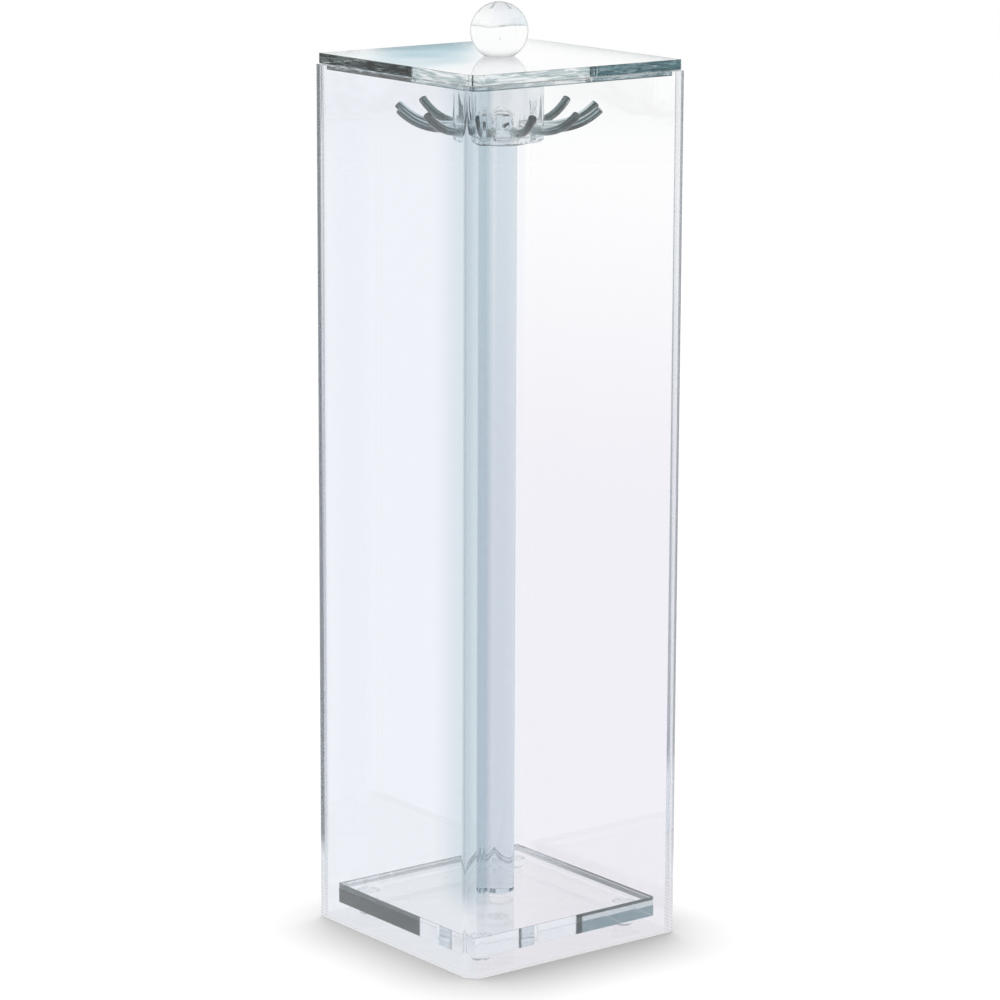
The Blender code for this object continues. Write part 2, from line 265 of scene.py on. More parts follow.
# Painted shade and a painted highlight along a hook: stops from its underside (0) over its
# sides (0.5) to its top (1)
HOOK_SHADE_TINT = (0.015, 0.035, 0.04)
HOOK_SIDE_SHADE_TINT = (0.42, 0.52, 0.55)
HOOK_SHADE_STOPS = (
    (0.0, HOOK_SHADE_TINT),
    (0.36, HOOK_SHADE_TINT),
    (0.43, HOOK_SIDE_SHADE_TINT),
    (0.56, HOOK_SIDE_SHADE_TINT),
    (0.61, HOOK_SHADE_TINT),
    (0.85, HOOK_SHADE_TINT),
    (0.91, CLEAR),
    (1.0, CLEAR),
)
HOOK_ROOT_SHARE = 0.45
HOOK_ROOT_SOFTNESS = 0.0005
HOOK_FADE_LENGTH = 0.011

# Sockets of Blender's Mix node when it mixes colours
MIX_SHARE, MIX_FIRST, MIX_SECOND, MIX_RESULT = 0, 6, 7, 2

# Camera, as the photograph was taken
CAMERA_AZIMUTH = math.radians(-37.515)
CAMERA_ELEVATION = math.radians(12.328)
CAMERA_ROLL = math.radians(0.221)
CAMERA_DISTANCE = 1.5835
CAMERA_LENS = 146.1
CAMERA_SENSOR = 36.0
CAMERA_AIM_ASIDE = 0.00098
CAMERA_AIM_HEIGHT = 0.17307

# Floor
FLOOR_RADIUS = 2.3
FLOOR_STEPS = 96
FLOOR_GREY = 0.9
FLOOR_GLOW = 0.15
FLOOR_GLOW_THROUGH = 0.85

# Surroundings: headings and heights as angles
WORLD_LEVEL = 0.12
CEILING_LEVEL = 0.5
CEILING_RANGE = (math.radians(25), math.radians(55))
RIGHT_FLAG = (0.09, 0.12, 0.115)
RIGHT_FLAG_HEADING = math.radians(-57.0)
LEFT_FLAG = (0.3, 0.42, 0.45)
LEFT_FLAG_HEADING = math.radians(132.8)
FLAG_HALF_WIDTH = math.radians(4.2)
FLAG_SOFTNESS = math.radians(0.9)
FLAG_BOTTOM_RANGE = (math.radians(-7.4), math.radians(-6.5))
CARD_COLOUR = (0.46, 0.64, 0.71)
CARD_HEADING = math.radians(53.55)
CARD_SOFTNESS = math.radians(0.9)
CARD_BOTTOM_RANGE = (math.radians(2), math.radians(4))
CARD_TOP_RANGE = (math.radians(6), math.radians(6.25))

# Lamp
LAMP_STRENGTH = 3.4
LAMP_SPREAD = math.radians(11)
LAMP_AZIMUTH = math.radians(160)
LAMP_ELEVATION = math.radians(88.5)

# Bounces for light to cross all the clear walls
BOUNCES = 64
TRANSPARENT_BOUNCES = 16


def new_object(name, data, material=None):
    """An object in the scene for a mesh, lamp or camera, with a material if one is given."""
    if material:
        data.materials.append(material)
    made = bpy.data.objects.new(name, data)
    bpy.context.scene.collection.objects.link(made)
    return made


def mesh_from(bm, name):
    """A smooth shaded mesh from a bmesh, with sharp edges above an angle."""
    bmesh.ops.recalc_face_normals(bm, faces=bm.faces)
    mesh = bpy.data.meshes.new(name)
    bm.to_mesh(mesh)
    bm.free()
    mesh.shade_smooth()
    mesh.set_sharp_from_angle(angle=SHARP_ANGLE)
    return mesh


def arc(centre, radius, first, last, steps):
    """Points along an arc in a plane, both ends included."""
    angles = [first + (last - first) * i / steps for i in range(steps + 1)]
    return [
        (centre[0] + radius * math.cos(a), centre[1] + radius * math.sin(a))
        for a in angles
    ]


def keep_faces_flat(thing, keep_sharp):
    """Shades a piece's flat faces as truly flat, whatever rounds their edges."""
    flat = thing.modifiers.new("flat_faces", "WEIGHTED_NORMAL")
    flat.mode = "FACE_AREA"
    flat.weight = FACE_AREA_WEIGHT
    flat.keep_sharp = keep_sharp


def polish(thing):
    """Rounds the edges of a sheet a little and keeps its flat faces optically flat."""
    bevel = thing.modifiers.new("polished_edges", "BEVEL")
    bevel.width = POLISH_RADIUS
    bevel.segments = POLISH_STEPS
    bevel.limit_method = "ANGLE"
    bevel.angle_limit = POLISH_ANGLE
    bevel.harden_normals = False
    keep_faces_flat(thing, keep_sharp=False)


def cut_away(thing, cutter):
    """Cuts another object's shape out of a piece."""
    cut = thing.modifiers.new("cut", "BOOLEAN")
    cut.operation = "DIFFERENCE"
    cut.solver = "EXACT"
    cut.object = cutter


def apply_modifiers(thing):
    """Keeps the shape that the modifiers make as the mesh itself."""
    graph = bpy.context.evaluated_depsgraph_get()
    made = bpy.data.meshes.new_from_object(thing.evaluated_get(graph))
    thing.modifiers.clear()
    thing.data = made


def raised_outline(outline, bottom, top):
    """A bmesh of an outline raised from one height to another."""
    bm = bmesh.new()
    face = bm.faces.new([bm.verts.new((x, y, bottom)) for x, y in outline])
    raised = bmesh.ops.extrude_face_region(bm, geom=[face])
    verts = [v for v in raised["geom"] if isinstance(v, bmesh.types.BMVert)]
    bmesh.ops.translate(bm, verts=verts, vec=(0, 0, top - bottom))
    return bm


def flat_sheet(name, outline, bottom, top, material, cutter=None):
    """A flat sheet cut to an outline, with crisp polished edges."""
    bm = raised_outline(outline, bottom, top)
    made = new_object(name, mesh_from(bm, name), material)
    if cutter:
        cut_away(made, cutter)
    polish(made)
    return made


def sheet_square(half_side, radius):
    """Outline of a sheet, rounded at the case's two bends and square at its glued corners."""
    middle = half_side - radius
    front = arc((-middle, -middle), radius, math.pi, 1.5 * math.pi, BEND_STEPS)
    back = arc((middle, middle), radius, 0.0, 0.5 * math.pi, BEND_STEPS)
    return front + [(half_side, -half_side)] + back + [(-half_side, half_side)]


def bent_shell(name, half_side, leg_end, height, turn, material):
    """A sheet bent round one corner of the case, its legs reaching up to leg_end."""
    outer_radius = BEND_INNER_RADIUS + WALL
    corner = outer_radius - half_side
    first, last = math.pi, 1.5 * math.pi
    outer = arc((corner, corner), outer_radius, first, last, BEND_STEPS)
    inner = arc((corner, corner), BEND_INNER_RADIUS, first, last, BEND_STEPS)
    outer = [(-half_side, leg_end)] + outer + [(leg_end, -half_side)]
    inner = [(WALL - half_side, leg_end)] + inner + [(leg_end, WALL - half_side)]
    bm = raised_outline(outer + inner[::-1], 0, height)
    matrix = Matrix.Rotation(turn, 3, "Z")
    bmesh.ops.rotate(bm, verts=bm.verts, cent=(0, 0, 0), matrix=matrix)
    made = new_object(name, mesh_from(bm, name), material)
    polish(made)
    return made


def turned_piece(name, profile, material=None, steps=TURN_STEPS):
    """An object turned about Z from a profile of (radius, height) points. The profile is
    closed where it doesn't begin and end on the axis."""
    bm = bmesh.new()
    verts = [bm.verts.new((r, 0, z)) for r, z in profile]
    pairs = list(zip(verts, verts[1:]))
    if profile[0][0] != 0 or profile[-1][0] != 0:
        pairs.append((verts[-1], verts[0]))
    edges = [bm.edges.new(pair) for pair in pairs]
    bmesh.ops.spin(
        bm,
        geom=verts + edges,
        cent=(0, 0, 0),
        axis=(0, 0, 1),
        angle=2 * math.pi,
        steps=steps,
        use_merge=True,
    )
    bmesh.ops.remove_doubles(bm, verts=bm.verts, dist=MERGE_DISTANCE)
    return new_object(name, mesh_from(bm, name), material)


def chamfered(radius, height):
    """The two points of the small chamfer at a turned edge's top."""
    return [(radius - TURN_CHAMFER, height), (radius, height - TURN_CHAMFER)]


def feed(tree, socket, value):
    """Links a socket to a value that is a socket, or sets it to a number or colour."""
    if isinstance(value, bpy.types.NodeSocket):
        tree.links.new(value, socket)
    elif isinstance(value, tuple):
        socket.default_value = (*value, 1)
    else:
        socket.default_value = value


def link_math(tree, operation, first, second=0.0):
    """A math node on sockets or numbers; gives its output."""
    node = tree.nodes.new("ShaderNodeMath")
    node.operation = operation
    for socket, value in zip(node.inputs, (first, second)):
        feed(tree, socket, value)
    return node.outputs[0]


def link_product(tree, product, *factors):
    """The product of sockets and numbers; gives its output."""
    for factor in factors:
        product = link_math(tree, "MULTIPLY", product, factor)
    return product


def link_range(tree, value, from_low, from_high, to_low=0.0, to_high=1.0):
    """A smooth step of a socket from one range to another; gives its output."""
    node = tree.nodes.new("ShaderNodeMapRange")
    node.interpolation_type = "SMOOTHSTEP"
    node.inputs["From Min"].default_value = from_low
    node.inputs["From Max"].default_value = from_high
    node.inputs["To Min"].default_value = to_low
    node.inputs["To Max"].default_value = to_high
    tree.links.new(value, node.inputs["Value"])
    return node.outputs["Result"]


def link_mix(tree, share, first, second, blend="MIX"):
    """A mix of two colours by a share; gives its output."""
    node = tree.nodes.new("ShaderNodeMix")
    node.data_type = "RGBA"
    node.blend_type = blend
    feed(tree, node.inputs[MIX_SHARE], share)
    feed(tree, node.inputs[MIX_FIRST], first)
    feed(tree, node.inputs[MIX_SECOND], second)
    return node.outputs[MIX_RESULT]


def link_ramp(tree, value, stops):
    """A colour ramp on a socket with stops of (place, colour); gives its colour."""
    ramp = tree.nodes.new("ShaderNodeValToRGB")
    ramp.color_ramp.interpolation = "EASE"
    for _ in stops[2:]:
        ramp.color_ramp.elements.new(0.5)
    for element, (spot, colour) in zip(ramp.color_ramp.elements, stops):
        element.position = spot
        element.color = (*colour, 1)
    tree.links.new(value, ramp.inputs["Fac"])
    return ramp.outputs["Color"]


def link_vector(tree, operation, vector, by=None):
    """A vector node on a socket, with a fixed vector where it takes one; gives the node."""
    node = tree.nodes.new("ShaderNodeVectorMath")
    node.operation = operation
    tree.links.new(vector, node.inputs[0])
    if by:
        node.inputs[1].default_value = by
    return node


def link_towards(tree, way, heading, half_width, softness):
    """How far a level unit direction lies within a width of a heading; gives its output."""
    aim = (math.cos(heading), math.sin(heading), 0)
    facing = link_vector(tree, "DOT_PRODUCT", way, aim).outputs["Value"]
    return link_range(tree, facing, math.cos(half_width + softness), math.cos(half_width))


def coordinate(tree, kind):
    """A texture coordinate by its name."""
    return tree.nodes.new("ShaderNodeTexCoord").outputs[kind]


def link_noise(tree, noise):
    """One of the noises over a piece's own place; gives its output."""
    scale, detail, stretch, distortion = noise
    place = tree.nodes.new("ShaderNodeMapping")
    place.inputs["Scale"].default_value = stretch
    tree.links.new(coordinate(tree, "Object"), place.inputs["Vector"])
    node = tree.nodes.new("ShaderNodeTexNoise")
    node.inputs["Scale"].default_value = scale
    node.inputs["Detail"].default_value = detail
    node.inputs["Distortion"].default_value = distortion
    tree.links.new(place.outputs["Vector"], node.inputs["Vector"])
    return node.outputs["Fac"]


def parts_of(tree, vector):
    """The X, Y and Z of a vector."""
    split = tree.nodes.new("ShaderNodeSeparateXYZ")
    tree.links.new(vector, split.inputs["Vector"])
    return list(split.outputs)


def place_parts(tree):
    """The X, Y and Z of a point in a piece's own frame."""
    return parts_of(tree, coordinate(tree, "Object"))


def normal_parts(tree):
    """The X, Y and Z of the surface normal in a piece's own frame."""
    return parts_of(tree, coordinate(tree, "Normal"))


def normal_sizes(tree):
    """The sizes of the normal's X, Y and Z, whichever way it points."""
    return [link_math(tree, "ABSOLUTE", part) for part in normal_parts(tree)]


def on_edges(tree):
    """How far a point of a sheet is on its upright edges."""
    return link_range(tree, normal_sizes(tree)[2], *UPRIGHT_RANGE, 1.0, 0.0)


def along_bend(tree):
    """The way from the left corner (0) over a bend (0.5) to the right corner (1)."""
    x, y, _ = place_parts(tree)
    across = link_math(tree, "SUBTRACT", x, y)
    return link_math(tree, "ADD", link_product(tree, across, 1 / CORNER_TO_CORNER), 0.5)


def clear_acrylic(name, absorption, roughness=0.0, swell=0.1, drawn=0.0, edge_swirl=0.0):
    """Clear acrylic, with fine rub marks in its polish. swell is the slow waviness of a cast
    sheet; drawn is the lines along a rod; edge_swirl is the waviness of a sheet's
    flame-polished edges."""
    made = bpy.data.materials.new(name)
    made.use_nodes = True
    tree = made.node_tree
    nodes, links = tree.nodes, tree.links
    shader = nodes["Principled BSDF"]
    shader.inputs["Base Color"].default_value = (*CLEAR, 1)
    shader.inputs["IOR"].default_value = ACRYLIC_IOR
    shader.inputs["Transmission Weight"].default_value = 1.0
    marks = link_noise(tree, RUB_NOISE)
    gloss = link_range(tree, marks, *RUB_RANGE, roughness, roughness + RUB_DULLNESS)
    links.new(gloss, shader.inputs["Roughness"])
    height = link_product(tree, link_noise(tree, SWELL_NOISE), swell)
    if drawn:
        lines = link_product(tree, link_noise(tree, DRAWN_NOISE), drawn)
        height = link_math(tree, "ADD", height, lines)
    if edge_swirl:
        swirl = link_product(tree, link_noise(tree, EDGE_NOISE), on_edges(tree), edge_swirl)
        height = link_math(tree, "ADD", height, swirl)
    bump = nodes.new("ShaderNodeBump")
    bump.inputs["Strength"].default_value = 1.0
    bump.inputs["Distance"].default_value = BUMP_DEPTH
    links.new(height, bump.inputs["Height"])
    links.new(bump.outputs["Normal"], shader.inputs["Normal"])
    volume = nodes.new("ShaderNodeVolumeAbsorption")
    density = DENSITY_MARGIN * max(absorption)
    volume.inputs["Color"].default_value = (*(1 - a / density for a in absorption), 1)
    volume.inputs["Density"].default_value = density
    links.new(volume.outputs["Volume"], nodes["Material Output"].inputs["Volume"])
    return made


def tint_where(material, where, tint):
    """Multiplies a material's colour by a tint as far as a share says."""
    tree = material.node_tree
    colour = tree.nodes["Principled BSDF"].inputs["Base Color"]
    before = colour.links[0].from_socket if colour.is_linked else CLEAR
    tree.links.new(link_mix(tree, where, before, tint, "MULTIPLY"), colour)


def tint_across(material, stops, heights=None):
    """Tints a sheet along its bend, and lets the tint come in between two heights."""
    tree = material.node_tree
    where = link_range(tree, place_parts(tree)[2], *heights) if heights else 1.0
    tint_where(material, where, link_ramp(tree, along_bend(tree), stops))


def tint_front_edges(material, stops, heights=None, swirled=False):
    """Tints a sheet's two front edges along the bend, and lets the tint come in between two
    heights, or in swirls."""
    tree = material.node_tree
    x, y, z = place_parts(tree)
    depth = link_math(tree, "ADD", x, y)
    front = link_range(tree, depth, -FRONT_SOFTNESS, FRONT_SOFTNESS, 1.0, 0.0)
    where = link_product(tree, front, on_edges(tree))
    if heights:
        where = link_product(tree, where, link_range(tree, z, *heights))
    if swirled:
        swirl = link_range(tree, link_noise(tree, SWIRL_NOISE), *SWIRL_RANGE)
        where = link_product(tree, where, swirl)
    tint_where(material, where, link_ramp(tree, along_bend(tree), stops))


def paint_back_edge_reflection(material, stops, half_side):
    """Paints a reflection of shade on the margin of a sheet's top along its two back edges,
    where the top mirrors them.
    """
    tree = material.node_tree
    x, y, _ = place_parts(tree)
    furthest = link_math(tree, "MAXIMUM", x, y)
    start = half_side - BACK_REFLECTION_MARGIN
    low, high = start - BACK_REFLECTION_SOFTNESS, start + BACK_REFLECTION_SOFTNESS
    margin = link_range(tree, furthest, low, high)
    top = link_range(tree, normal_parts(tree)[2], *TOP_RANGE)
    where = link_product(tree, margin, top)
    tint_where(material, where, link_ramp(tree, along_bend(tree), stops))


def paint_level_edge_shade(material, tint):
    """Paints shade on the narrow roundings of a sheet's level edges."""
    tree = material.node_tree
    x, y, z = normal_sizes(tree)
    largest = link_math(tree, "MAXIMUM", link_math(tree, "MAXIMUM", x, y), z)
    rounded = link_range(tree, largest, *ROUNDED_RANGE, 1.0, 0.0)
    level = link_range(tree, z, *LEVEL_RANGE)
    tint_where(material, link_product(tree, rounded, level), tint)


def paint_foot_shadow_line(material, tint, height):
    """Paints a shadow line along the lowest part of a sheet's edges, below a height."""
    tree = material.node_tree
    z = place_parts(tree)[2]
    below = link_range(tree, z, height - LINE_SOFTNESS, height, 1.0, 0.0)
    tint_where(material, link_product(tree, on_edges(tree), below), tint)


def paint_edge_shade_swirls(material, tint):
    """Painted shade in swirls along a sheet's flame-polished edges."""
    tree = material.node_tree
    swirl = link_range(tree, link_noise(tree, SHADE_SWIRL_NOISE), *SHADE_SWIRL_RANGE)
    tint_where(material, link_product(tree, swirl, on_edges(tree)), tint)


def paint_rim_shade(material, tint, grazing):
    """Paints shade on a round piece towards its sides, between two grazing amounts."""
    tree = material.node_tree
    layer = tree.nodes.new("ShaderNodeLayerWeight")
    tint_where(material, link_range(tree, layer.outputs["Facing"], *grazing), tint)


def paint_rod_shade_and_highlight(material, stops, start):
    """Paints shade in lines along a rod, from its underside over its sides to its top, and
    leaves a painted highlight along its top. They begin at a place along the rod and get
    stronger further out."""
    tree = material.node_tree
    x = place_parts(tree)[0]
    begin, full = start - HOOK_ROOT_SOFTNESS, start + HOOK_ROOT_SOFTNESS
    beyond = link_range(tree, x, begin, full)
    outwards = link_range(tree, x, start, start + HOOK_FADE_LENGTH, HOOK_ROOT_SHARE, 1.0)
    # The rod rises in its own XZ plane, so its top is where the normal has no Y
    _, normal_y, normal_z = normal_parts(tree)
    aside = link_product(tree, normal_y, normal_y)
    upward = link_math(tree, "POWER", link_math(tree, "SUBTRACT", 1.0, aside), 0.5)
    half = link_math(tree, "SIGN", normal_z)
    around = link_math(tree, "ADD", link_product(tree, upward, half, 0.5), 0.5)
    where = link_product(tree, beyond, outwards)
    tint_where(material, where, link_ramp(tree, around, stops))


def wall_acrylic(name):
    """The sheet of the case's walls, with a painted reflection tint on either side."""
    sheet = clear_acrylic(name, WALL_ABSORPTION, swell=0.03)
    tint_across(sheet, LEFT_REFLECTION_STOPS)
    tint_across(sheet, RIGHT_REFLECTION_STOPS, RIGHT_REFLECTION_HEIGHTS)
    return sheet


def front_acrylic():
    """The front walls' sheet, with painted shade over its bend, darker along lines across it,
    and painted shade lines at its two ends.
    """
    sheet = wall_acrylic("front_sheet")
    tint_across(sheet, BEND_SHADE_STOPS, BEND_SHADE_HEIGHTS)
    return sheet


def lid_acrylic():
    """The lid's sheet, with swirled, flame-polished edges, painted dark and teal shade sections
    and shade swirls on them, a painted reflection tint on its left and a painted shadow line at
    its foot.
    """
    sheet = clear_acrylic("lid_sheet", LID_ABSORPTION, edge_swirl=0.045)
    paint_edge_shade_swirls(sheet, SHADE_SWIRL_TINT)
    paint_level_edge_shade(sheet, LID_SHADE_TINT)
    tint_front_edges(sheet, LID_EDGE_SHADE_STOPS)
    tint_across(sheet, LID_REFLECTION_STOPS)
    tint_front_edges(sheet, LID_SWIRL_SHADE_STOPS, swirled=True)
    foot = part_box("lid_locating_plate")[0].z
    paint_foot_shadow_line(sheet, LID_SHADOW_LINE_TINT, foot + LID_SHADOW_LINE_HEIGHT)
    return sheet


def knob_acrylic():
    """The knob's cast acrylic, with painted shade round its rim."""
    cast = clear_acrylic("knob_cast", KNOB_ABSORPTION, swell=0.02)
    paint_rim_shade(cast, KNOB_RIM_SHADE_TINT, KNOB_RIM_RANGE)
    return cast


def base_acrylic():
    """The base plate's sheet, with painted dark and teal shade and shade lines on its edges,
    and painted reflections of them on its top.
    """
    sheet = clear_acrylic("base_sheet", BASE_ABSORPTION, swell=0.03, edge_swirl=0.02)
    paint_level_edge_shade(sheet, BASE_ROUNDING_SHADE_TINT)
    tint_front_edges(sheet, BASE_EDGE_SHADE_STOPS)
    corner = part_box("stand_base_plate")[1]
    line = corner.z - BASE_SHADE_LINE_DEPTH
    tint_front_edges(sheet, BASE_SHADE_LINE_STOPS, (line - LINE_SOFTNESS, line))
    tint_front_edges(sheet, BASE_SHADE_BAR_STOPS)
    paint_back_edge_reflection(sheet, BACK_REFLECTION_STOPS, corner.x)
    return sheet


def post_acrylic():
    """The post's drawn rod, with painted shade at its sides."""
    rod = clear_acrylic("post_rod", POST_ABSORPTION, drawn=0.05)
    paint_rim_shade(rod, POST_RIM_SHADE_TINT, POST_RIM_RANGE)
    return rod


def hook_acrylic():
    """The hooks' bent rod, with lines of painted shade along it outside the hub and a painted
    highlight along its top.
    """
    rod = clear_acrylic("hook_rod", HOOK_ABSORPTION, swell=0.05)
    paint_rod_shade_and_highlight(rod, HOOK_SHADE_STOPS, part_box("hub")[1].x)
    return rod


def finish_piece(piece, body, node):
    """Rides the piece on its body in place of the CAD node it stands for."""
    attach(piece, body)
    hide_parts(node)


def make_case(front_material, rear_material):
    """Two bent shells and the floor."""
    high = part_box("case_front_shell")[1]
    half = high.x
    front = bent_shell("front_shell", half, half, high.z, 0.0, front_material)
    finish_piece(front, CASE_BODY, "case_front_shell")
    inside = half - WALL - FACE_GAP
    rear = bent_shell("rear_shell", half, inside, high.z, math.pi, rear_material)
    finish_piece(rear, CASE_BODY, "case_rear_shell")
    low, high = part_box("case_floor")
    outline = sheet_square(inside, BEND_INNER_RADIUS - FACE_GAP)
    floor = flat_sheet("floor_sheet", outline, low.z, high.z, rear_material)
    finish_piece(floor, CASE_BODY, "case_floor")


def make_lid(sheet_material, knob_material):
    """The lid plate, the plate that locates it and the ball knob."""
    low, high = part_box("lid_plate")
    underside, upperside = low.z, high.z
    case_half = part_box("case_front_shell")[1].x
    outline = sheet_square(high.x, BEND_INNER_RADIUS + WALL - (case_half - high.x))
    plate = flat_sheet("lid_top_sheet", outline, underside, upperside, sheet_material)
    finish_piece(plate, LID_BODY, "lid_plate")
    low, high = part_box("lid_locating_plate")
    outline = sheet_square(high.x, BEND_INNER_RADIUS)
    top = underside - FACE_GAP
    locating = flat_sheet("lid_locating_sheet", outline, low.z, top, sheet_material)
    finish_piece(locating, LID_BODY, "lid_locating_plate")
    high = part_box("lid_knob")[1]
    radius = high.x
    centre = high.z - radius
    bottom = upperside + FACE_GAP
    lowest = -math.asin((centre - bottom) / radius)
    profile = arc((0, centre), radius, math.pi / 2, lowest, TURN_STEPS // 2)
    profile[0] = (0.0, high.z)
    profile.append((0.0, bottom))
    knob = turned_piece("knob_ball", profile, knob_material)
    finish_piece(knob, LID_BODY, "lid_knob")


def make_stand(base_material, post_material, foot_material):
    """The base plate with its hole, the post and the soft feet."""
    low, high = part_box("stand_base_plate")
    post_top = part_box("stand_post")[1]
    half, shaft = high.x, post_top.x
    spigot = shaft - SPIGOT_STEP
    hole = spigot + SOCKET_GAP
    beyond = high.z - low.z
    over, under = high.z + beyond, low.z - beyond
    profile = [(0, over), (hole, over), (hole, under), (0, under)]
    cutter = turned_piece("hole_guide", profile)
    square = [(-half, -half), (half, -half), (half, half), (-half, half)]
    slab = flat_sheet("base_slab", square, low.z, high.z, base_material, cutter)
    apply_modifiers(slab)
    bpy.data.objects.remove(cutter)
    finish_piece(slab, CASE_BODY, "stand_base_plate")
    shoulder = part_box("thrust_washer")[0].z - FACE_GAP
    foot_of_shaft = high.z + FACE_GAP
    pivot = shaft - PIVOT_STEP
    profile = [(0, post_top.z)]
    profile += chamfered(pivot, post_top.z)
    profile += [(pivot, shoulder)]
    profile += chamfered(shaft, shoulder)
    profile += [(shaft, foot_of_shaft), (spigot, foot_of_shaft), (spigot, low.z), (0, low.z)]
    post = turned_piece("post_rod", profile, post_material)
    finish_piece(post, CASE_BODY, "stand_post")
    for number in range(1, FOOT_COUNT + 1):
        make_foot(number, foot_material)


def make_foot(number, material):
    """A soft round foot under the base plate, a little narrower below."""
    node = f"stand_foot_{number}"
    low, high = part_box(node)
    top = (high.x - low.x) / 2
    bottom = top - FOOT_TAPER
    centre = (bottom - FOOT_ROUND, low.z + FOOT_ROUND)
    profile = [(0, high.z), (top, high.z)]
    profile += arc(centre, FOOT_ROUND, 0, -math.pi / 2, FOOT_ROUND_STEPS)
    profile.append((0, low.z))
    foot = turned_piece(f"bumper_{number}", profile, material, FOOT_TURN_STEPS)
    foot.location = ((low.x + high.x) / 2, (low.y + high.y) / 2, 0)
    finish_piece(foot, CASE_BODY, node)


def hook_reach():
    """Radius at which a hook's bend ends, read from the CAD hooks' tips."""
    tip_radius = HOOK_DIAMETER / 2
    furthest = max(v.co.xy.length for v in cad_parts["hook_01"].data.vertices)
    return furthest - tip_radius * math.sin(HOOK_RISE_ANGLE)


def hook_stations(bend_start):
    """Stations of a hook as (x, z, slope, radius): straight, bent and rounded at its tip."""
    radius = HOOK_DIAMETER / 2
    bend_radius = (hook_reach() - bend_start) / math.sin(HOOK_RISE_ANGLE)
    stations = [(SOCKET_END + SOCKET_GAP, 0.0, 0.0, radius)]
    for i in range(HOOK_BEND_STEPS + 1):
        slope = HOOK_RISE_ANGLE * i / HOOK_BEND_STEPS
        x = bend_start + bend_radius * math.sin(slope)
        z = bend_radius * (1 - math.cos(slope))
        stations.append((x, z, slope, radius))
    x, z = stations[-1][:2]
    for i in range(1, HOOK_TIP_STEPS + 1):
        turn = math.pi / 2 * i / HOOK_TIP_STEPS
        ahead = HOOK_TIP_ROUND * math.sin(turn)
        stations.append((
            x + ahead * math.cos(HOOK_RISE_ANGLE),
            z + ahead * math.sin(HOOK_RISE_ANGLE),
            HOOK_RISE_ANGLE,
            radius - HOOK_TIP_ROUND * (1 - math.cos(turn)),
        ))
    return stations


def swept_rod(bm, stations):
    """A round rod through stations of (x, z, slope, radius) in the XZ plane."""
    rings = []
    for x, z, slope, radius in stations:
        ring = []
        for i in range(HOOK_SIDES):
            turn = 2 * math.pi * i / HOOK_SIDES
            lift = radius * math.cos(turn)
            side = radius * math.sin(turn)
            point = (x - lift * math.sin(slope), side, z + lift * math.cos(slope))
            ring.append(bm.verts.new(point))
        rings.append(ring)
    for near, far in zip(rings, rings[1:]):
        for i in range(HOOK_SIDES):
            j = (i + 1) % HOOK_SIDES
            bm.faces.new((near[i], near[j], far[j], far[i]))
    bm.faces.new(rings[0])
    bm.faces.new(rings[-1])


def make_sockets(end, axis_height):
    """A ring of straight rods that leave the hooks' sockets in the hub."""
    stations = [(SOCKET_END, 0, 0, SOCKET_RADIUS), (end, 0, 0, SOCKET_RADIUS)]
    bm = bmesh.new()
    for turn in HOOK_TURNS:
        before = set(bm.verts)
        swept_rod(bm, stations)
        added = [v for v in bm.verts if v not in before]
        matrix = Matrix.Rotation(turn, 3, "Z")
        bmesh.ops.rotate(bm, verts=added, cent=(0, 0, 0), matrix=matrix)
    bmesh.ops.translate(bm, verts=bm.verts, vec=(0, 0, axis_height))
    return new_object("socket_guide", mesh_from(bm, "socket_guide"))


def make_head(hub_material, hook_material, washer_material):
    """The washer, the hub that runs on it and the ring of hooks."""
    low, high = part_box("thrust_washer")
    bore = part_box("stand_post")[1].x - PIVOT_STEP + PIVOT_CLEARANCE
    profile = [(high.x, high.z), (high.x, low.z), (bore, low.z), (bore, high.z)]
    washer = turned_piece("washer_ring", profile, washer_material)
    finish_piece(washer, CASE_BODY, "thrust_washer")
    low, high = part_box("hub")
    radius = high.x
    bend_start = radius + HOOK_STRAIGHT
    axis_height = low.z + HOOK_HEIGHT_ON_HUB
    cone = bore / math.tan(DRILL_POINT_ANGLE / 2)
    depth = high.z - HUB_ROOF - cone
    profile = [(0, high.z)]
    profile += chamfered(radius, high.z)
    profile += [(radius, low.z + TURN_CHAMFER), (radius - TURN_CHAMFER, low.z)]
    profile += [(bore, low.z), (bore, depth), (0, depth + cone)]
    steps = HOOK_COUNT * HUB_STEPS_PER_HOOK
    hub = turned_piece("hub_drum", profile, hub_material, steps)
    sockets = make_sockets(bend_start, axis_height)
    cut_away(hub, sockets)
    keep_faces_flat(hub, keep_sharp=True)
    apply_modifiers(hub)
    bpy.data.objects.remove(sockets)
    finish_piece(hub, HEAD_BODY, "hub")
    bm = bmesh.new()
    swept_rod(bm, hook_stations(bend_start))
    mesh = mesh_from(bm, "hook_rod")
    mesh.materials.append(hook_material)
    for number, turn in enumerate(HOOK_TURNS, 1):
        rod = new_object(f"hook_rod_{number:02d}", mesh)
        rod.location.z = axis_height
        rod.rotation_euler.z = turn
        finish_piece(rod, HEAD_BODY, f"hook_{number:02d}")


